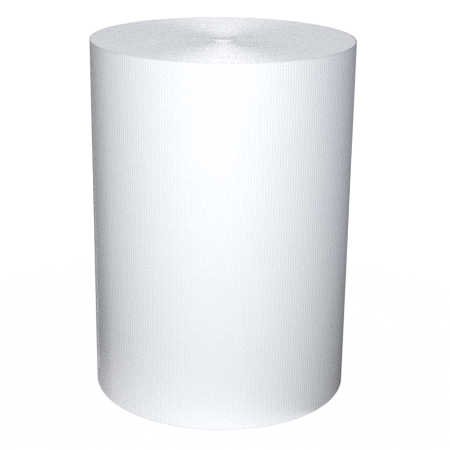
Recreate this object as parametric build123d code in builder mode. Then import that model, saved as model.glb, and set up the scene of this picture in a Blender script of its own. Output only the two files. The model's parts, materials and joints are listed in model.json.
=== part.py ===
"""Large roll of air bubble film, standing on end.

One web of film, 48 in wide, is wound on a plain mandrel that is pulled out afterwards, so the roll
has no core. Its turns lie tight on each other and count as one solid, film_roll. The winding shows
in three places: the outline is the last turn of a spiral, with a step at the web's cut end (the
tail), and a fine spiral gap between the turns runs across both ends of the roll, out to that step.

The frame: the mandrel hole's axis is Z, the lower end stands on Z = 0, and the tail is at the back,
towards +Y. The spiral is built from quarter turns, each an arc slightly larger than the one before.
"""

import os

from build123d import *

# driving dimensions, millimetres
WEB_WIDTH = 1219.2  # 48 in, the roll's height
MANDREL_RADIUS = 38.0  # 3 in mandrel, pulled out after winding
TURN_PITCH = 4.0  # film with 3/16 in bubbles, wound under tension
QUARTER_TURNS = 400  # from the end of the first turn to the tail, 101 turns in all
TAIL_ANGLE = 90.0  # degrees from +X, at the back
GAP_WIDTH = 1.0  # between one turn's bubbles and the next turn's flat side
GAP_DEPTH = 2.0  # how far down the open gap shows at each end

# worked out from them
QUARTER_STEP = TURN_PITCH / 4
SEAM_START_RADIUS = MANDREL_RADIUS + TURN_PITCH
LAST_TURN = QUARTER_TURNS - 4


def joint_angle(index):
    """Angle in degrees of the joint where quarter turn `index` begins; the last one ends at the tail."""
    return TAIL_ANGLE + 90.0 * (index - QUARTER_TURNS)


def quarter_turn(index, offset=0.0):
    """One arc of the seam between turns, `offset` outside it.

    Its centre is a corner of a small square about the axis, which makes it tangent to its neighbours.
    """
    begins = Vector(1, 0).rotate(Axis.Z, joint_angle(index))
    ends = Vector(1, 0).rotate(Axis.Z, joint_angle(index + 1))
    radius = SEAM_START_RADIUS + QUARTER_STEP * (index + 0.5) + offset
    centre = (ends - begins) * (QUARTER_STEP / 2)
    return CenterArc(centre, radius, joint_angle(index), 90, mode=Mode.PRIVATE)


def closing_line(start, end):
    """A short radial line that closes an outline."""
    return Line(start, end, mode=Mode.PRIVATE)


outline = [quarter_turn(index) for index in range(LAST_TURN, QUARTER_TURNS)]
outline.append(closing_line(outline[-1] @ 1, outline[0] @ 0))

gap_inside = [quarter_turn(index) for index in range(LAST_TURN)]
gap_outside = [quarter_turn(index, GAP_WIDTH) for index in range(LAST_TURN)]
gap_ends = [
    closing_line(gap_inside[0] @ 0, gap_outside[0] @ 0),
    closing_line(gap_inside[-1] @ 1, gap_outside[-1] @ 1),
]

with BuildPart() as film_roll:
    with BuildSketch():
        make_face(outline)
        Circle(MANDREL_RADIUS, mode=Mode.SUBTRACT)
    extrude(amount=WEB_WIDTH)

    with BuildSketch(Plane.XY, Plane.XY.offset(WEB_WIDTH - GAP_DEPTH)):
        make_face(gap_inside + gap_outside + gap_ends)
    extrude(amount=GAP_DEPTH, mode=Mode.SUBTRACT)

film_roll.part.label = "film_roll"

os.makedirs("parts", exist_ok=True)
export_step(film_roll.part, "parts/film_roll.step")
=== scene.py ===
"""Looks of the standing roll of air bubble film, with the studio that it stands in.

The roll has its outer turn, its two wound ends, the web's cut end, the lining of its mandrel hole and the
milky turns inside.
"""

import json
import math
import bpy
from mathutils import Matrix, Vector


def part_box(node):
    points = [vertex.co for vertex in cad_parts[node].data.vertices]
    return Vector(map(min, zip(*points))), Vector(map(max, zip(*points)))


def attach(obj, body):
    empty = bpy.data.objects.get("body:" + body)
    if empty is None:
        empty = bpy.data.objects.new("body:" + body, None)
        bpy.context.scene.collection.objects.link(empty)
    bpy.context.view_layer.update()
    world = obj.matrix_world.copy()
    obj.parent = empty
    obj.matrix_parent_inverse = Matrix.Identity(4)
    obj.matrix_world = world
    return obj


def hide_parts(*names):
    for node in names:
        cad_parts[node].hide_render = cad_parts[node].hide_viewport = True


bl_info = {
    "name": "Air Bubble Film Roll",
    "version": (1, 0, 0),
    "blender": (4, 5, 0),
    "location": "3D View > Sidebar > Film Roll",
    "description": "Builds a wound roll of air bubble film around its packed model",
    "category": "Add Mesh",
}

import bmesh
import bpy
import numpy as np
from bpy.props import FloatProperty, FloatVectorProperty, IntProperty, PointerProperty
from mathutils import Matrix, Vector

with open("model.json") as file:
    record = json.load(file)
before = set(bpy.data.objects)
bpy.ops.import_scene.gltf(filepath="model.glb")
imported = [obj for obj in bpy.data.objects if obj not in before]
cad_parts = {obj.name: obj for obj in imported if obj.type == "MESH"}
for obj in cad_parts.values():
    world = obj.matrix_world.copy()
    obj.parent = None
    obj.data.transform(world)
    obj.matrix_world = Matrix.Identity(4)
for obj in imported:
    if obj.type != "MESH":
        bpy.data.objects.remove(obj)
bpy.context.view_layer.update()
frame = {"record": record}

NODE = "film_roll"
BODY = "root"
MM = 0.001

LOW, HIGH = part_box(NODE)
HEIGHT = HIGH.z
TAIL_RADIUS = HIGH.y
MEAN_RADIUS = (HIGH.x - LOW.x) / 2
HOLE_RADIUS = next(
    mount["dims"]["r_mm"] * MM for mount in frame["record"]["mounts"] if mount["name"] == "mandrel_hole"
)
TAIL_ANGLE = math.pi / 2  # the web's cut end is at the back, towards +Y


# ---------------------------------------------------------------- settings


class RollSizes(bpy.types.PropertyGroup):
    """Sizes of the web and its winding"""

    turn_pitch: FloatProperty(
        name="Turn pitch", description="From one turn to the next", default=4.0 * MM, unit="LENGTH"
    )
    bubble_pitch: FloatProperty(
        name="Bubble pitch",
        description="From one bubble to its neighbours",
        default=11.0 * MM,
        unit="LENGTH",
    )
    shoulder_radius: FloatProperty(
        name="Shoulder radius",
        description="Where a bubble's crown begins",
        default=3.9 * MM,
        unit="LENGTH",
    )
    crown_stretch: FloatProperty(
        name="Crown stretch",
        description="How much taller than wide a crown is",
        default=1.25,
        subtype="FACTOR",
    )
    pillow_height: FloatProperty(
        name="Pillow height",
        description="How far the flat side swells over a bubble",
        default=1.05 * MM,
        unit="LENGTH",
    )
    bubble_height: FloatProperty(
        name="Bubble height",
        description="Of a whole bubble, towards the axis",
        default=3.4 * MM,
        unit="LENGTH",
    )
    body_depth: FloatProperty(
        name="Body depth",
        description="From the outer turn to the milky turns",
        default=7.0 * MM,
        unit="LENGTH",
    )
    edge_depth: FloatProperty(
        name="Edge depth",
        description="How far down the film edges show",
        default=0.35 * MM,
        unit="LENGTH",
    )
    edge_width: FloatProperty(
        name="Edge width", description="Of a film edge with its welds", default=1.3 * MM, unit="LENGTH"
    )
    unevenness: FloatProperty(
        name="Unevenness",
        description="How far some turns stand below others",
        default=0.2 * MM,
        unit="LENGTH",
    )
    dish: FloatProperty(
        name="Dish",
        description="How far the innermost turns have settled at the top",
        default=9.0 * MM,
        unit="LENGTH",
    )
    steps_per_turn: IntProperty(
        name="Steps per turn", description="Straight runs in one turn's film edge", default=80
    )


class FilmFinish(bpy.types.PropertyGroup):
    """Colours and gloss of the film"""

    tint: FloatVectorProperty(
        name="Tint",
        description="Of one turn of film",
        subtype="COLOR",
        default=(0.80, 0.812, 0.832),
        min=0,
        max=1,
    )
    # Painted shadow: a dark grey for the shaded line just inside the roll's rims, not the film's own
    # colour.
    rim_shadow_tint: FloatVectorProperty(
        name="Rim tint",
        description="Of the film with no air behind it",
        subtype="COLOR",
        default=(0.3, 0.3, 0.32),
        min=0,
        max=1,
    )
    edge_tint: FloatVectorProperty(
        name="Edge tint",
        description="Of the cut film edges",
        subtype="COLOR",
        default=(0.69, 0.705, 0.735),
        min=0,
        max=1,
    )
    depth_tint: FloatVectorProperty(
        name="Depth tint",
        description="Of many turns together",
        subtype="COLOR",
        default=(0.80, 0.815, 0.845),
        min=0,
        max=1,
    )
    # Painted shade: the turns round the hole are the same film as the milky turns, tinted darker for the
    # shade in the hole.
    hole_shade_tint: FloatVectorProperty(
        name="Hole tint",
        description="Of the turns round the hole",
        subtype="COLOR",
        default=(0.36, 0.37, 0.39),
        min=0,
        max=1,
    )
    opacity: FloatProperty(
        name="Opacity", description="Of one turn, where it is loose", subtype="FACTOR", default=0.38
    )
    roughness: FloatProperty(
        name="Roughness", description="Of the film's skin", subtype="FACTOR", default=0.24
    )
    edge_roughness: FloatProperty(
        name="Edge roughness", description="Of wound film edges", subtype="FACTOR", default=0.57
    )
    edge_streak: FloatProperty(
        name="Edge streak",
        description="How much further the edges' gloss spreads to and from the axis than round it",
        subtype="FACTOR",
        default=0.78,
    )
    # Painted glow: the hole's wall emits this itself, in place of light that comes through the film.
    painted_hole_glow: FloatProperty(
        name="Hole glow", description="Light that comes through the film to the hole's wall", default=0.3
    )
    # The share of that painted rim shadow that shows.
    rim_shadow_share: FloatProperty(
        name="Rim shade",
        description="How much of the rim tint shows along the web's long edges",
        subtype="FACTOR",
        default=0.2,
    )


class StudioSettings(bpy.types.PropertyGroup):
    """Camera and lights"""

    camera_distance: FloatProperty(name="Camera distance", description="In roll radii", default=9.0452)
    camera_height: FloatProperty(name="Camera height", description="In roll radii", default=4.3221)
    camera_pitch: FloatProperty(
        name="Camera pitch", description="Looking down", subtype="ANGLE", default=math.radians(18.5744)
    )
    camera_yaw: FloatProperty(
        name="Camera yaw", description="Looking right", subtype="ANGLE", default=math.radians(0.2085)
    )
    camera_roll: FloatProperty(
        name="Camera roll", description="About its own axis", subtype="ANGLE", default=math.radians(0.7156)
    )
    camera_lens: FloatProperty(name="Lens", description="Focal length", default=96.3, unit="CAMERA")
    key_place: FloatVectorProperty(
        name="Key place",
        description="Of the light by the camera",
        subtype="TRANSLATION",
        unit="LENGTH",
        default=(0.0, -3.9, 1.6),
    )
    key_power: FloatProperty(
        name="Key power", description="Of the light by the camera", default=145.0, unit="POWER"
    )
    top_place: FloatVectorProperty(
        name="Top place",
        description="Of the light overhead",
        subtype="TRANSLATION",
        unit="LENGTH",
        default=(0.0, 0.1, 2.9),
    )
    top_power: FloatProperty(
        name="Top power", description="Of the light overhead", default=26.5, unit="POWER"
    )
    back_place: FloatVectorProperty(
        name="Back place",
        description="Of the low light behind",
        subtype="TRANSLATION",
        unit="LENGTH",
        default=(0.0, 3.5, 0.55),
    )
    back_power: FloatProperty(
        name="Back power", description="Of the low light behind", default=75.0, unit="POWER"
    )
    floor_glow: FloatProperty(name="Floor glow", description="Brightness of the lit floor", default=1.0)
    bounce: FloatProperty(name="Bounce", description="Light that the floor throws back up", default=0.55)
    side_glow: FloatProperty(
        name="Side glow", description="Light from the room's left and right", default=0.44
    )
    left_tint: FloatVectorProperty(
        name="Left tint",
        description="Of the light from the room's left",
        subtype="COLOR",
        default=(1.08, 1.1, 1.115),
        min=0,
        max=2,
    )
    right_tint: FloatVectorProperty(
        name="Right tint",
        description="Of the light from the room's right",
        subtype="COLOR",
        default=(0.64, 0.675, 0.79),
        min=0,
        max=2,
    )


def sizes():
    return bpy.context.scene.film_roll_sizes


def finish():
    return bpy.context.scene.film_roll_finish


def studio():
    return bpy.context.scene.film_roll_studio


# ---------------------------------------------------------------- mesh helpers

WELD_REACH = 0.02 * MM  # points of repeated copies nearer than this become one


def points_of(mesh):
    """The mesh's points, one row each."""
    flat = np.empty(len(mesh.vertices) * 3)
    mesh.vertices.foreach_get("co", flat)
    return flat.reshape(-1, 3)


def move_points(mesh, points):
    mesh.vertices.foreach_set("co", points.ravel())
    mesh.update()


def normals_of(mesh):
    """The normals at the mesh's points, one row each."""
    flat = np.empty(len(mesh.vertices) * 3)
    mesh.vertices.foreach_get("normal", flat)
    return flat.reshape(-1, 3)


def unit_rows(rows):
    return rows / np.linalg.norm(rows, axis=1)[:, None]


def mark_points(mesh, name, values):
    """Keeps one number for each point, for the materials to read."""
    attribute = mesh.attributes.new(name, "FLOAT", "POINT")
    attribute.data.foreach_set("value", values.astype(np.float32))


def mesh_from(bm, name):
    mesh = bpy.data.meshes.new(name)
    bm.to_mesh(mesh)
    bm.free()
    return mesh


def arrayed(bm, name, *repeats):
    """A mesh of bm repeated: each repeat is a count and an offset."""
    piece = bpy.data.objects.new(name, mesh_from(bm, name))
    bpy.context.scene.collection.objects.link(piece)
    for count, offset in repeats:
        array = piece.modifiers.new("Repeat", "ARRAY")
        array.count = count
        array.use_relative_offset = False
        array.use_constant_offset = True
        array.constant_offset_displace = offset
    evaluated = piece.evaluated_get(bpy.context.evaluated_depsgraph_get())
    repeated = bpy.data.meshes.new_from_object(evaluated)
    source = piece.data
    bpy.data.objects.remove(piece)
    bpy.data.meshes.remove(source)
    repeated.name = name
    return repeated


def trimmed(mesh, *cuts):
    """bm of mesh with its copies welded; each cut is a point and the direction that is cut away."""
    bm = bmesh.new()
    bm.from_mesh(mesh)
    bmesh.ops.remove_doubles(bm, verts=bm.verts, dist=WELD_REACH)
    for point, direction in cuts:
        geometry = bm.verts[:] + bm.edges[:] + bm.faces[:]
        bmesh.ops.bisect_plane(
            bm, geom=geometry, dist=0.001 * MM, plane_co=point, plane_no=direction, clear_outer=True
        )
    return bm


def add_piece(name, mesh, material):
    """A finished piece of the roll, at the origin, riding on its one body."""
    mesh.materials.clear()
    mesh.materials.append(material)
    mesh.polygons.foreach_set("use_smooth", np.full(len(mesh.polygons), True))
    piece = bpy.data.objects.new(name, mesh)
    bpy.context.scene.collection.objects.link(piece)
    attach(piece, BODY)
    return piece


# ---------------------------------------------------------------- the winding


def flat_side_radius(along):
    """Radius of the web's flat side, `along` metres in from the tail."""
    return np.sqrt(TAIL_RADIUS**2 - sizes().turn_pitch * along / math.pi)


def wound_angle(along):
    """Angle from +X at which that place of the web lies."""
    turned = 2 * math.pi * (TAIL_RADIUS - flat_side_radius(along)) / sizes().turn_pitch
    return TAIL_ANGLE - turned


def length_of_turns(outer_radius, inner_radius):
    """Length of web between two radii of the winding."""
    return math.pi * (outer_radius**2 - inner_radius**2) / sizes().turn_pitch


def round_axis(radius, angle, up):
    """Points at these radii, angles from +X and heights."""
    return np.column_stack((radius * np.cos(angle), radius * np.sin(angle), up))


def wind(mesh):
    """Winds a flat mesh: its X runs inwards along the web from the tail, Y is outwards and Z is up."""
    along, outward, up = points_of(mesh).T
    move_points(mesh, round_axis(flat_side_radius(along) + outward, wound_angle(along), up))


# ---------------------------------------------------------------- bubbles

SHOULDER_SHARE = 0.72  # of a bubble's height, reached at its shoulder
LAND_REACH = 0.01 * MM  # a point nearer than this to the flat sheet lies between bubbles
UPRIGHT_LEAN = 0.45  # share of a bubble's up-and-down slope in its shading
LOOSE_ANGLE = 0.1 - math.pi  # middle of the stretch, towards -X, where the outer turn is loose
LOOSE_SPREAD = 0.5  # radians from there to where it is tight again
LOOSE_RAMP = 1.5  # how steeply it comes loose towards the middle
LOOSE_FALL = 1.4  # how steeply it comes loose downwards
LOOSE_AT_TOP = 0.3  # how loose it is at the roll's top, where 1 is low down


def bubble_lattice(name, columns, first_column, swell, cuts):
    """Flat sheet of staggered bubbles, `columns` wide from `first_column`, each swelling by `swell`."""
    pitch = sizes().bubble_pitch
    corner = pitch / math.sqrt(3)
    column_step = 1.5 * corner
    bm = bmesh.new()
    for shift in ((0, 0, 0), (column_step, pitch / 2, 0)):
        place = Matrix.Translation(shift) @ Matrix.Rotation(math.pi / 2, 4, "Z")
        bmesh.ops.create_circle(bm, cap_ends=True, segments=6, radius=corner, matrix=place)
    bmesh.ops.recalc_face_normals(bm, faces=bm.faces)
    inset = pitch / 2 - sizes().shoulder_radius
    crowns = bm.faces[:]
    bmesh.ops.inset_individual(bm, faces=crowns, thickness=inset, depth=0, use_even_offset=True)
    for crown in crowns:
        centre = Matrix.Translation(crown.calc_center_median())
        stretch = (1, sizes().crown_stretch, 1)
        bmesh.ops.scale(bm, verts=crown.verts, vec=stretch, space=centre.inverted())
        bmesh.ops.translate(bm, verts=crown.verts, vec=(0, 0, SHOULDER_SHARE * swell))
    bmesh.ops.poke(bm, faces=crowns, offset=(1 - SHOULDER_SHARE) * swell)
    start = Matrix.Translation((first_column * column_step, 0, 0))
    bmesh.ops.transform(bm, matrix=start @ Matrix.Rotation(-math.pi / 2, 4, "X"), verts=bm.verts)
    rows = math.ceil(HEIGHT / pitch) + 2
    mesh = arrayed(bm, name, (rows, (0, 0, pitch)), (columns // 2, (2 * column_step, 0, 0)))
    cuts = cuts + [((0, 0, 0), (0, 0, -1)), ((0, 0, HEIGHT), (0, 0, 1))]
    return mesh_from(trimmed(mesh, *cuts), name)


def mark_loose(mesh, along):
    """Keeps where the outer turn is loose: from 0, tight, to 1, low in the middle of the loose stretch."""
    off_middle = np.abs(wound_angle(along) - LOOSE_ANGLE)
    around = np.clip(LOOSE_RAMP * (1 - off_middle / LOOSE_SPREAD), 0, 1)
    lowness = np.clip(LOOSE_FALL * (1 - points_of(mesh)[:, 2] / HEIGHT), 0, 1)
    mark_points(mesh, "loose", around * (LOOSE_AT_TOP + (1 - LOOSE_AT_TOP) * lowness))


def relieved_normals(mesh):
    """Normals of a flat sheet, straight out between bubbles, so that neighbouring sheets join unseen."""
    normals = normals_of(mesh)
    land = np.abs(points_of(mesh)[:, 1]) < LAND_REACH
    normals[land] = (0, 1, 0)
    normals[:, 2] *= UPRIGHT_LEAN
    return unit_rows(normals)


def set_wound_normals(mesh, normals, along):
    """Gives a wound sheet the normals that it had when it was flat, turned with it."""
    angle = wound_angle(along)
    across, outward, up = normals.T
    to_right = across * np.sin(angle) + outward * np.cos(angle)
    to_back = outward * np.sin(angle) - across * np.cos(angle)
    mesh.normals_split_custom_set_from_vertices(np.column_stack((to_right, to_back, up)))


# ---------------------------------------------------------------- finishes

# The rims' painted shadow: a grey margin along each long edge of the web.
RIM_SHADOW_DEPTH = 3 * MM  # width of the greyer margin along each long edge of the web
RIM_BLUR = 1.3  # where that margin has faded out, in rim depths
SKIN_IOR = 1.5
GROOVE_IOR = 1.85  # higher than the film's own, for the many surfaces that lie behind each other
ACROSS_GROOVES = 0.25  # a quarter turn from their own direction, which is round the axis
HAZE = (0.96, 0.97, 0.98)  # the skin's tint at its haziest, as shares of its clear tint
HAZE_SCALE = 9.0
HAZE_DETAIL = 3.0
SMOOTHEST_SKIN = 0.8  # of its roughness, in the haze
ROUGHEST_SKIN = 1.25
MOTTLE = (0.97, 0.97, 0.97)  # the darkest tint of many turns together, as shares of the lightest
MOTTLE_SCALE = 60.0
MOTTLE_DETAIL = 2.0
DULL_EDGE = (0.95, 0.95, 0.95)  # tint of the dullest edges, as shares of the edge tint
BRIGHT_EDGE = (1.05, 1.05, 1.05)  # tint of the brightest
EDGE_VARIETY = 0.03  # how far an edge's roughness is from the middle, at most


class Wiring:
    """The nodes of one material or world"""

    def __init__(self, owner):
        owner.use_nodes = True
        self.nodes = owner.node_tree.nodes
        self.links = owner.node_tree.links
        self.nodes.clear()

    def add(self, kind, inputs=None, **settings):
        """A node with these settings; each input is a number or colour, or another node's output."""
        node = self.nodes.new(kind)
        for name, value in settings.items():
            setattr(node, name, value)
        self.feed(node, inputs or {})
        return node

    def feed(self, node, inputs):
        """Sets or links a node's inputs"""
        for name, value in inputs.items():
            if isinstance(value, bpy.types.NodeSocket):
                self.links.new(value, node.inputs[name])
            else:
                node.inputs[name].default_value = value

    def place(self):
        """Place on the object itself"""
        return self.add("ShaderNodeTexCoord").outputs["Object"]

    def mark(self, name):
        """The number that mark_points kept under this name"""
        return self.add("ShaderNodeAttribute", attribute_name=name).outputs["Fac"]

    def clouds(self, place, scale, detail):
        """Soft clouds, from 0 to 1"""
        inputs = {"Vector": place, "Scale": scale, "Detail": detail}
        return self.add("ShaderNodeTexNoise", inputs).outputs["Fac"]

    def part(self, vector, axis):
        """One part of a vector: X, Y or Z"""
        return self.add("ShaderNodeSeparateXYZ", {"Vector": vector}).outputs[axis]

    def worked_out(self, operation, value, number=0.0):
        """A value changed by an operation, with a number where the operation needs one"""
        return self.add("ShaderNodeMath", {0: value, 1: number}, operation=operation).outputs["Value"]

    def ranged(self, value, low, high, start=0.0, end=1.0):
        """A value brought from the range start to end into the range low to high"""
        inputs = {"Value": value, "From Min": start, "From Max": end, "To Min": low, "To Max": high}
        return self.add("ShaderNodeMapRange", inputs).outputs["Result"]

    def mixed(self, share, colour, other):
        """A colour with a share of another"""
        inputs = {"Factor": share, "A": colour, "B": other}
        return self.add("ShaderNodeMix", inputs, data_type="RGBA").outputs["Result"]


def new_material(name):
    material = bpy.data.materials.new(name)
    wiring = Wiring(material)
    output = wiring.add("ShaderNodeOutputMaterial")
    shader = wiring.add("ShaderNodeBsdfPrincipled")
    wiring.links.new(shader.outputs["BSDF"], output.inputs["Surface"])
    return material, wiring, shader


def painted(tint, shares=(1, 1, 1)):
    """A tint as a node's colour, its red, green and blue each scaled by its share."""
    return (*(part * share for part, share in zip(tint, shares)), 1)


def rim_shadow_painted(wiring, place, colour):
    """Paints a grey shadow along the margins of the web's two long edges, for the shaded line just inside
    the roll's rims.
    """
    off_middle = wiring.worked_out("SUBTRACT", wiring.part(place, "Z"), HEIGHT / 2)
    to_edge = wiring.worked_out("ABSOLUTE", off_middle)
    blur_start = HEIGHT / 2 - RIM_SHADOW_DEPTH * RIM_BLUR
    # painted shadow, greyest at the rims
    shade = wiring.ranged(to_edge, 0, finish().rim_shadow_share, blur_start, HEIGHT / 2 - RIM_SHADOW_DEPTH)
    return wiring.mixed(shade, colour, painted(finish().rim_shadow_tint))


def film_skin_material():
    """Film with air behind it: opaque where it is tight, and see-through where the turn is loose."""
    material, wiring, shader = new_material("film skin")
    place = wiring.place()
    haze = wiring.clouds(place, HAZE_SCALE, HAZE_DETAIL)
    colour = wiring.mixed(haze, painted(finish().tint, HAZE), painted(finish().tint))
    smoothest, roughest = finish().roughness * SMOOTHEST_SKIN, finish().roughness * ROUGHEST_SKIN
    wiring.feed(shader, {
        "IOR": SKIN_IOR,
        # the skin's colour carries the painted rim shadow
        "Base Color": rim_shadow_painted(wiring, place, colour),
        "Roughness": wiring.ranged(haze, smoothest, roughest),
        "Alpha": wiring.ranged(wiring.mark("loose"), 1.0, finish().opacity),
    })
    return material


def add_groove_gloss(wiring, shader):
    """Gloss of wound film edges: they lie side by side round the axis, so it spreads to and from it."""
    along_grooves = wiring.add("ShaderNodeTangent", direction_type="RADIAL", axis="Z")
    wiring.feed(shader, {
        "Roughness": finish().edge_roughness,
        "Anisotropic": finish().edge_streak,
        "Anisotropic Rotation": ACROSS_GROOVES,
        "Specular IOR Level": 1.0,
        "IOR": GROOVE_IOR,
        "Tangent": along_grooves.outputs["Tangent"],
    })


def turns_material(name, tint, glow=0.0):
    """Many turns of film seen one behind another; a painted glow stands in for light coming through them.
    """
    material, wiring, shader = new_material(name)
    add_groove_gloss(wiring, shader)
    mottle = wiring.clouds(wiring.place(), MOTTLE_SCALE, MOTTLE_DETAIL)
    wiring.feed(shader, {
        "Base Color": wiring.mixed(mottle, painted(tint, MOTTLE), painted(tint)),
        # painted glow, none for the milky turns
        "Emission Color": (1, 1, 1, 1),
        "Emission Strength": glow,
    })
    return material


def milky_material():
    return turns_material("milky turns", finish().depth_tint)


def lining_material():
    # the hole's wall: painted shade in its darker tint, and a painted glow
    return turns_material("hole lining", finish().hole_shade_tint, finish().painted_hole_glow)


def film_edge_material():
    """Cut edges of the film: some catch the light and some let it through."""
    material, wiring, shader = new_material("film edge")
    add_groove_gloss(wiring, shader)
    grain = wiring.mark("grain")
    dull = painted(finish().edge_tint, DULL_EDGE)
    bright = painted(finish().edge_tint, BRIGHT_EDGE)
    middle = finish().edge_roughness
    wiring.feed(shader, {
        "Base Color": wiring.mixed(grain, dull, bright),
        "Roughness": wiring.ranged(grain, middle - EDGE_VARIETY, middle + EDGE_VARIETY),
    })
    return material


def shared_material(name, maker):
    return bpy.data.materials.get(name) or maker()


# ---------------------------------------------------------------- outer and inner turns

LIP_GAP = 0.4 * MM  # from the inner turns' lips to the outer turn
LIP_HEIGHT = 3 * MM
FOOT_SHARE = 0.9  # how far in the inner turns begin, as a share of the film edges' depth
RING_STEPS = 192  # straight runs round the inner turns
ROUNDING = 1 * MM  # of the inner turns' outer corners
CREASE_ANGLE = math.radians(40)  # steeper corners than this stay sharp


class FILMROLL_OT_outer_turn(bpy.types.Operator):
    """Adds the outer turn of film, from the tail once round and a little under it"""

    bl_idname = "film_roll.outer_turn"
    bl_label = "Outer Turn"

    def execute(self, context):
        column_step = sizes().bubble_pitch * math.sqrt(3) / 2
        once_round = length_of_turns(TAIL_RADIUS, TAIL_RADIUS - sizes().turn_pitch)
        sheets = ("right", "front", "left")
        columns = 2 * math.ceil(once_round / column_step / len(sheets) / 2 + 0.5)
        for order, side in enumerate(sheets):
            name = f"outer_turn_{side}"
            cuts = [((0, 0, 0), (-1, 0, 0))] if order == 0 else []
            mesh = bubble_lattice(name, columns, order * columns, sizes().pillow_height, cuts)
            normals = relieved_normals(mesh)
            along = points_of(mesh)[:, 0]
            wind(mesh)
            mark_loose(mesh, along)
            add_piece(name, mesh, shared_material("film skin", film_skin_material))
            set_wound_normals(mesh, normals, along)
        return {"FINISHED"}


class FILMROLL_OT_inner_turns(bpy.types.Operator):
    """Adds the milky turns inside, as one closed body with the mandrel hole through it"""

    bl_idname = "film_roll.inner_turns"
    bl_label = "Inner Turns"

    def execute(self, context):
        inside = HOLE_RADIUS + sizes().turn_pitch
        lip = TAIL_RADIUS - sizes().turn_pitch - LIP_GAP
        waist = TAIL_RADIUS - sizes().turn_pitch - sizes().body_depth
        foot = sizes().edge_depth * FOOT_SHARE
        top = HEIGHT - foot - sizes().unevenness
        lip_above_foot = foot + LIP_HEIGHT
        lip_below_top = top - LIP_HEIGHT
        corners = [
            (inside, foot),
            (lip, foot),
            (lip, lip_above_foot),
            (waist, lip_above_foot + sizes().body_depth),
            (waist, lip_below_top - sizes().body_depth),
            (lip, lip_below_top),
            (lip, top),
            (inside, top - sizes().dish),
        ]
        bm = bmesh.new()
        ring = [bm.verts.new((x, 0, z)) for x, z in corners]
        bm.faces.new(ring)
        outer = [vert for vert in ring if vert.co.x > inside + ROUNDING]
        bmesh.ops.bevel(
            bm, geom=outer, offset=ROUNDING, segments=3, profile=0.5, affect="VERTICES", material=-1
        )
        section = bm.edges[:]
        bmesh.ops.delete(bm, geom=bm.faces[:], context="FACES_ONLY")
        bmesh.ops.spin(
            bm,
            geom=section,
            cent=(0, 0, 0),
            axis=(0, 0, 1),
            angle=2 * math.pi,
            steps=RING_STEPS,
            use_merge=True,
        )
        bmesh.ops.remove_doubles(bm, verts=bm.verts, dist=0.01 * MM)
        bmesh.ops.recalc_face_normals(bm, faces=bm.faces)
        mesh = mesh_from(bm, "inner_turns")
        piece = add_piece("inner_turns", mesh, shared_material("milky turns", milky_material))
        mesh.set_sharp_from_angle(angle=CREASE_ANGLE)
        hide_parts(NODE)
        return {"FINISHED"}


# ---------------------------------------------------------------- cut edges

RANDOM_SEED = 7
ARCH_STEPS = 3  # straight runs in one cut bubble's edge
ARCH_POINTS = 3 * (ARCH_STEPS + 1)  # points in one cut bubble's edge
ARCH_THICKNESS = 0.8  # of a cut bubble's edge, as a share of the flat side's
END_CUT = 0.9  # width of the bubbles cut at the roll's ends, in bubble pitches
TAIL_CUT = 0.85  # the same at the tail
DRIFT_RUN = 23  # cut bubbles over which their drift along the film changes
DRIFT = 0.9  # how far they drift, in their own spacing
JITTER = 0.12  # how far each strays from that, in the same
SHALLOWEST_CUT = 0.7  # height of the lowest cut bubble, in whole bubbles
DEEPER_CUT = 0.35  # how much higher than that the highest is
LEVELS = 140  # different levels of turns at one end
LEVEL_RUN = 0.83  # turns from one level to the next
EDGE_LEAN = 0.35  # share of a film edge's own slope in its shading


def edge_strip(bm, steps, length):
    """A flat strip `length` long folded over lengthways into the two flanks of one film edge."""
    bmesh.ops.create_grid(bm, x_segments=steps, y_segments=2, size=0.5)
    for vert in bm.verts:
        flank = 2 * vert.co.y  # from -1, inside, to 1, outside
        vert.co = (
            (vert.co.x + 0.5) * length,
            flank * sizes().edge_width / 2,
            -abs(flank) * sizes().edge_depth,
        )


def half_bubble(bm, width, middle):
    """A cut bubble's edge, arched inwards from the flat side, with its middle so far along."""
    height = sizes().bubble_height
    across = sizes().edge_width * ARCH_THICKNESS
    bmesh.ops.create_grid(bm, x_segments=ARCH_STEPS, y_segments=2, size=0.5)
    for vert in bm.verts:
        turn = math.pi * (0.5 - vert.co.x)
        flank = 2 * vert.co.y
        reach = 1 + flank * across / 2 / height
        vert.co = (
            middle - math.cos(turn) * width / 2 * reach,
            -math.sin(turn) * height * reach - across / 2,
            -abs(flank) * sizes().edge_depth,
        )


def scatter_bubbles(mesh, spacing):
    """Cut bubbles drift along the film from turn to turn, and no two are cut quite alike."""
    points = points_of(mesh)
    count = len(points) // ARCH_POINTS
    random = np.random.default_rng(RANDOM_SEED)
    knots = np.arange(0, count + DRIFT_RUN, DRIFT_RUN)
    drift = np.interp(np.arange(count), knots, random.random(len(knots))) - 0.5
    shift = (drift * DRIFT + (random.random(count) - 0.5) * JITTER) * spacing
    points[:, 0] += np.repeat(shift, ARCH_POINTS)
    points[:, 1] *= np.repeat(SHALLOWEST_CUT + DEEPER_CUT * random.random(count), ARCH_POINTS)
    points[:, 2] -= np.repeat(random.random(count) * sizes().edge_depth / 2, ARCH_POINTS)
    move_points(mesh, points)


def flat_side_edge(name):
    """The flat side's edge from the tail to the hole, in straight runs that each turn the same angle."""
    turns = (TAIL_RADIUS - HOLE_RADIUS) / sizes().turn_pitch - 1
    bm = bmesh.new()
    edge_strip(bm, round(turns * sizes().steps_per_turn), 1.0)
    mesh = mesh_from(bm, name)
    points = points_of(mesh)
    radius = TAIL_RADIUS - points[:, 0] * turns * sizes().turn_pitch
    points[:, 0] = length_of_turns(TAIL_RADIUS, radius)
    move_points(mesh, points)
    return mesh


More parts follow.
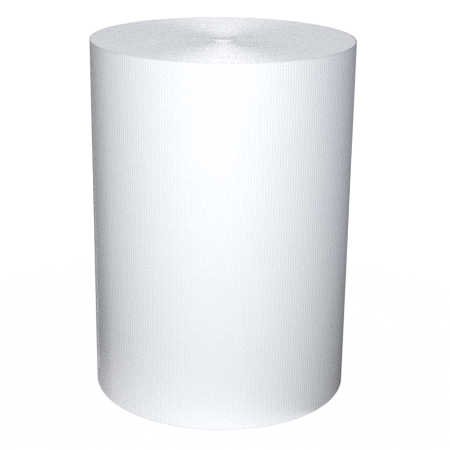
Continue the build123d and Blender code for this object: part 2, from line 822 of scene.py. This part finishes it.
def cut_bubbles(name):
    """The row of cut bubbles along that edge."""
    spacing = sizes().bubble_pitch * math.sqrt(3)
    length = length_of_turns(TAIL_RADIUS, HOLE_RADIUS + sizes().turn_pitch)
    bm = bmesh.new()
    half_bubble(bm, END_CUT * sizes().bubble_pitch, spacing / 2)
    mesh = arrayed(bm, name, (int(length / spacing), (spacing, 0, 0)))
    scatter_bubbles(mesh, spacing)
    return mesh


def grain_edges(mesh, strip_points):
    """Gives each cut bubble, and each short run of the flat side's edge, its own share of light."""
    random = np.random.default_rng(RANDOM_SEED + 1)
    runs = random.random(strip_points // 3)
    arches = random.random((len(mesh.vertices) - strip_points) // ARCH_POINTS)
    mark_points(mesh, "grain", np.concatenate((np.tile(runs, 3), np.repeat(arches, ARCH_POINTS))))


def level_turns(mesh, level, up):
    """Sets film edges at `level`, each turn a little lower than the roll's end by its own amount."""
    points = points_of(mesh)
    radius = flat_side_radius(points[:, 0])
    turns = (TAIL_RADIUS - radius) / sizes().turn_pitch
    random = np.random.default_rng(RANDOM_SEED)
    drop = np.interp(turns, np.arange(LEVELS) * LEVEL_RUN, random.random(LEVELS)) * sizes().unevenness
    if up > 0:
        outwards = (radius - HOLE_RADIUS) / (TAIL_RADIUS - HOLE_RADIUS)
        drop += sizes().dish * (1 - np.clip(outwards, 0, 1))
    points[:, 2] = level + up * (points[:, 2] - drop)
    move_points(mesh, points)


def stand_up_normals(mesh, up):
    """Turns the normals of film edges mostly upright, because light spreads inside the clear film."""
    normals = normals_of(mesh) * EDGE_LEAN
    normals[:, 2] += up * (1 - EDGE_LEAN)
    mesh.normals_split_custom_set_from_vertices(unit_rows(normals))


def wound_end(name, level, up):
    """One end of the roll: the flat side's edge as one long spiral, and the cut bubbles along it."""
    strip = flat_side_edge(name)
    strip_points = len(strip.vertices)
    bubbles = cut_bubbles(name)
    bm = bmesh.new()
    for row in (strip, bubbles):
        bm.from_mesh(row)
        bpy.data.meshes.remove(row)
    mesh = mesh_from(bm, name)
    grain_edges(mesh, strip_points)
    level_turns(mesh, level, up)
    wind(mesh)
    if up < 0:
        mesh.flip_normals()
    add_piece(name, mesh, shared_material("film edge", film_edge_material))
    stand_up_normals(mesh, up)


class FILMROLL_OT_wound_ends(bpy.types.Operator):
    """Adds the film edges and cut bubbles of both ends"""

    bl_idname = "film_roll.wound_ends"
    bl_label = "Wound Ends"

    def execute(self, context):
        wound_end("top_edges", HEIGHT, 1)
        wound_end("bottom_edges", 0.0, -1)
        return {"FINISHED"}


class FILMROLL_OT_tail_edge(bpy.types.Operator):
    """Adds the web's cut end up the back of the roll: the flat side's edge and a row of cut bubbles"""

    bl_idname = "film_roll.tail_edge"
    bl_label = "Tail Edge"

    def execute(self, context):
        pitch = sizes().bubble_pitch
        bm = bmesh.new()
        half_bubble(bm, TAIL_CUT * pitch, pitch / 2)
        bubbles = arrayed(bm, "tail_edge", (int(HEIGHT / pitch), (pitch, 0, 0)))
        bm = bmesh.new()
        edge_strip(bm, 1, HEIGHT)
        bm.from_mesh(bubbles)
        bpy.data.meshes.remove(bubbles)
        bmesh.ops.rotate(bm, verts=bm.verts, matrix=Matrix.Rotation(-math.pi / 2, 3, "Y"))
        mesh = mesh_from(bm, "tail_edge")
        wind(mesh)
        add_piece("tail_edge", mesh, shared_material("film edge", film_edge_material))
        return {"FINISHED"}


# ---------------------------------------------------------------- hole

LINING_GAP = 0.3 * MM  # from the inner turns to the lining


class FILMROLL_OT_hole_lining(bpy.types.Operator):
    """Adds the innermost turn, whose bubbles line the mandrel hole"""

    bl_idname = "film_roll.hole_lining"
    bl_label = "Hole Lining"

    def execute(self, context):
        column_step = sizes().bubble_pitch * math.sqrt(3) / 2
        inside = HOLE_RADIUS + sizes().turn_pitch
        columns = 2 * math.ceil(2 * math.pi * inside / column_step / 2)
        mesh = bubble_lattice("hole_lining", columns, 0, -sizes().bubble_height, [])
        along, outward, up = points_of(mesh).T
        angle = TAIL_ANGLE - along / (columns * column_step) * 2 * math.pi
        move_points(mesh, round_axis(inside - LINING_GAP + outward, angle, up))
        mesh.flip_normals()
        add_piece("hole_lining", mesh, shared_material("hole lining", lining_material))
        return {"FINISHED"}


# ---------------------------------------------------------------- studio

SENSOR_WIDTH = 36  # millimetres
LAMP_SIZE = (1.2, 0.9)
KEY_AIM = 0.75  # of the roll's height
BACK_AIM = 0.5  # of the roll's height
FLOOR_RADIUS = 30.0
FLOOR_DROP = 1.0 * MM  # below the roll
DARK_CARD_RADIUS = 1.3
DARK_CARD_DROP = 0.8 * MM
PALE_CARD_RADIUS = 0.5
PALE_CARD_DROP = 0.5 * MM
PALE_CARD_SHIFT = -0.15  # to the left and to the front
WHITE = (1, 1, 1, 1)
BLACK = (0, 0, 0, 1)


class FILMROLL_OT_studio(bpy.types.Operator):
    """Adds the camera, the lights and the pale floor"""

    bl_idname = "film_roll.studio"
    bl_label = "Studio"

    def execute(self, context):
        scene = context.scene
        scene.view_settings.view_transform = "Standard"
        scene.cycles.use_denoising = False  # it would smooth the bubbles away
        add_camera(scene)
        add_lamp(scene, "key light", studio().key_place, KEY_AIM * HEIGHT, studio().key_power)
        add_lamp(scene, "top light", studio().top_place, HEIGHT, studio().top_power)
        add_lamp(scene, "back light", studio().back_place, BACK_AIM * HEIGHT, studio().back_power)
        add_floor(scene)
        add_surroundings(scene)
        return {"FINISHED"}


def add_camera(scene):
    camera = bpy.data.objects.new("camera", bpy.data.cameras.new("camera"))
    camera.data.lens = studio().camera_lens
    camera.data.sensor_width = SENSOR_WIDTH
    distance = studio().camera_distance * MEAN_RADIUS
    height = studio().camera_height * MEAN_RADIUS
    camera.matrix_world = (
        Matrix.Translation((0, -distance, height))
        @ Matrix.Rotation(-studio().camera_yaw, 4, "Z")
        @ Matrix.Rotation(math.pi / 2 - studio().camera_pitch, 4, "X")
        @ Matrix.Rotation(studio().camera_roll, 4, "Z")
    )
    scene.collection.objects.link(camera)
    scene.camera = camera


def add_lamp(scene, name, place, aim_height, power):
    """A big soft light at `place`, aimed at the roll's axis, that the camera doesn't see."""
    light = bpy.data.lights.new(name, "AREA")
    light.shape = "RECTANGLE"
    light.size, light.size_y = LAMP_SIZE
    light.energy = power
    lamp = bpy.data.objects.new(name, light)
    lamp.location = place
    lamp.rotation_euler = (Vector((0, 0, aim_height)) - lamp.location).to_track_quat("-Z", "Y").to_euler()
    lamp.visible_camera = False
    scene.collection.objects.link(lamp)


def add_disc(scene, name, radius, place, glow):
    """A black disc that lies face up and glows."""
    bm = bmesh.new()
    bmesh.ops.create_circle(bm, cap_ends=True, segments=96, radius=radius)
    bmesh.ops.translate(bm, verts=bm.verts, vec=place)
    mesh = mesh_from(bm, name)
    material, wiring, shader = new_material(name)
    wiring.feed(shader, {
        "Base Color": BLACK,
        "Roughness": 0.9,
        "Emission Color": WHITE,
        "Emission Strength": glow,
    })
    material.cycles.emission_sampling = "NONE"  # less noise: no light is sought from it
    mesh.materials.append(material)
    disc = bpy.data.objects.new(name, mesh)
    scene.collection.objects.link(disc)
    return disc


def add_floor(scene):
    """A lit floor that only the camera sees, and two cards on it that the camera doesn't see.

    The dark one keeps the room's light off the low sides, and a smaller pale one throws some back up.
    """
    floor = add_disc(scene, "floor", FLOOR_RADIUS, (0, 0, -FLOOR_DROP), studio().floor_glow)
    floor.visible_diffuse = False
    floor.visible_glossy = False
    floor.visible_transmission = False
    floor.visible_shadow = False
    dark_card = add_disc(scene, "dark_card", DARK_CARD_RADIUS, (0, 0, -DARK_CARD_DROP), 0.0)
    dark_card.visible_camera = False
    pale_place = (PALE_CARD_SHIFT, PALE_CARD_SHIFT, -PALE_CARD_DROP)
    pale_card = add_disc(scene, "bounce_card", PALE_CARD_RADIUS, pale_place, studio().bounce)
    pale_card.visible_camera = False
    pale_card.visible_shadow = False


def add_surroundings(scene):
    """White behind the roll as the camera sees it; a dim room with pale side walls for its light."""
    world = bpy.data.worlds.new("studio")
    wiring = Wiring(world)
    direction = wiring.add("ShaderNodeTexCoord").outputs["Generated"]
    sideways = wiring.part(direction, "X")
    rightness = wiring.ranged(sideways, 0, 1, start=-1, end=1)
    colour = wiring.mixed(rightness, painted(studio().left_tint), painted(studio().right_tint))
    off_centre = wiring.worked_out("ABSOLUTE", sideways)
    glow = wiring.worked_out("MULTIPLY", off_centre, studio().side_glow)
    room = wiring.add("ShaderNodeBackground", {"Color": colour, "Strength": glow})
    backdrop = wiring.add("ShaderNodeBackground", {"Color": WHITE})
    to_camera = wiring.add("ShaderNodeLightPath").outputs["Is Camera Ray"]
    inputs = {"Fac": to_camera, 1: room.outputs["Background"], 2: backdrop.outputs["Background"]}
    either = wiring.add("ShaderNodeMixShader", inputs)
    wiring.add("ShaderNodeOutputWorld", {"Surface": either.outputs["Shader"]})
    scene.world = world


# ---------------------------------------------------------------- add-on


class FILMROLL_PT_panel(bpy.types.Panel):
    """Lists the pieces of the roll and their settings"""

    bl_label = "Film Roll"
    bl_idname = "FILMROLL_PT_panel"
    bl_space_type = "VIEW_3D"
    bl_region_type = "UI"
    bl_category = "Film Roll"

    def draw(self, context):
        layout = self.layout
        for settings in (sizes(), finish(), studio()):
            box = layout.box()
            for name in settings.__annotations__:
                box.prop(settings, name)
        for operator in PIECES:
            layout.operator(operator.bl_idname)


SETTINGS = {
    "film_roll_sizes": RollSizes,
    "film_roll_finish": FilmFinish,
    "film_roll_studio": StudioSettings,
}
PIECES = (
    FILMROLL_OT_studio,
    FILMROLL_OT_inner_turns,
    FILMROLL_OT_outer_turn,
    FILMROLL_OT_wound_ends,
    FILMROLL_OT_tail_edge,
    FILMROLL_OT_hole_lining,
)


def register():
    for cls in (*SETTINGS.values(), *PIECES, FILMROLL_PT_panel):
        bpy.utils.register_class(cls)
    for name, cls in SETTINGS.items():
        setattr(bpy.types.Scene, name, PointerProperty(type=cls))


def unregister():
    for name in SETTINGS:
        delattr(bpy.types.Scene, name)
    for cls in (FILMROLL_PT_panel, *reversed(PIECES), *reversed(SETTINGS.values())):
        bpy.utils.unregister_class(cls)


def main():
    register()
    bpy.ops.film_roll.studio()
    bpy.ops.film_roll.inner_turns()
    bpy.ops.film_roll.outer_turn()
    bpy.ops.film_roll.wound_ends()
    bpy.ops.film_roll.tail_edge()
    bpy.ops.film_roll.hole_lining()


if __name__ == "__main__":
    main()
